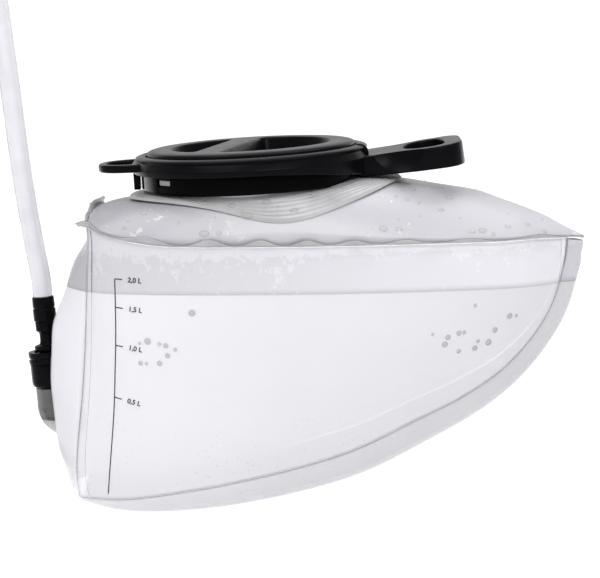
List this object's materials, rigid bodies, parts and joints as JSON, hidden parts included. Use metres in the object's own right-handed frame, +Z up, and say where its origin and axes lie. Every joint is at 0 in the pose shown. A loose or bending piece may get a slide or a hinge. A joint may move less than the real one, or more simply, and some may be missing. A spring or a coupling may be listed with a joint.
{
  "type": "hydration bladder",
  "caption": "Tapered translucent film water bladder with a wide twist-off fill cap, carrying handle, hang loop, quick-release outlet and a drinking hose with a bite valve.",
  "frame": {"origin": "centre of the flat pad on top of the carrying handle, which holds the bladder up", "axes": "+X towards the nose, +Y away from the printed side, +Z up, square to the water's surface"},
  "size_m": [0.4234, 0.1539, 0.3332],
  "materials": {
    "film": "translucent TPU film, satin",
    "flange_tpu": "translucent grey TPU, satin, moulded ridges",
    "black_matte": "fine spark-eroded black nylon",
    "black_gloss": "polished black",
    "silicone": "soft satin silicone",
    "seal": "satin rubber",
    "elbow": "translucent grey, satin",
    "steel": "drawn spring wire",
    "hose": "clear TPU tube",
    "strap": "woven hook-and-loop tape"
  },
  "bodies": {
    "root": {"side_panel_right": "film", "side_panel_left": "film", "rear_gusset": "film", "belly_gusset": "film", "top_panel": "film", "neck_flange": "flange_tpu", "neck_collar": "black_gloss", "handle_ring": "black_matte", "port_flange": "flange_tpu", "outlet_elbow": "elbow", "socket_body": "black_matte", "release_spring": "steel", "poppet_spring": "steel"},
    "cap_seal": {"cap_gasket": "silicone"},
    "cap": {"fill_cap": "black_matte"},
    "collar": {"release_collar": "black_matte"},
    "poppet": {"shutoff_poppet": "silicone"},
    "hose": {"hose_plug": "black_matte", "plug_o_ring": "seal", "hose_cuff": "black_matte", "hose_run": "hose", "hose_coil": "hose", "coil_tie": "strap", "valve_body": "black_matte", "bite_valve": "silicone"},
    "lever": {"shutoff_lever": "black_gloss"},
    "cover": {"dust_cover": "flange_tpu"}
  },
  "joints": [
    {"name": "cap_lift", "type": "slide", "parent": "root", "child": "cap_seal", "axis": [-0.0593, 0, 0.9982], "range_m": [0, 0.04]},
    {"name": "cap_turn", "type": "hinge", "parent": "cap_seal", "child": "cap", "pos_m": [-0.0669, 0, 0.003], "axis": [-0.0593, 0, 0.9982], "range_deg": [0, 90]},
    {"name": "release_pull", "type": "slide", "parent": "root", "child": "collar", "axis": [-0.0958, 0, 0.9954], "range_m": [0, 0.003], "stiffness_N_per_m": 600, "springref_m": -0.002, "deforming": ["release_spring"]},
    {"name": "hose_unplug", "type": "slide", "parent": "root", "child": "hose", "axis": [-0.0958, 0, 0.9954], "range_m": [0, 0.02]},
    {"name": "poppet_close", "type": "slide", "parent": "root", "child": "poppet", "axis": [-0.0958, 0, 0.9954], "range_m": [0, 0.002], "deforming": ["poppet_spring"]},
    {"name": "shutoff_turn", "type": "hinge", "parent": "hose", "child": "lever", "pos_m": [-0.216, 0.0565, -0.1779], "axis": [0, 0, 1], "range_deg": [0, 90]},
    {"name": "cover_pull", "type": "slide", "parent": "hose", "child": "cover", "axis": [0, 1, 0], "range_m": [0, 0.025]}
  ],
  "couplings": [
    {"joint": "poppet_close", "follows": "hose_unplug", "ratio": 0.1}
  ]
}
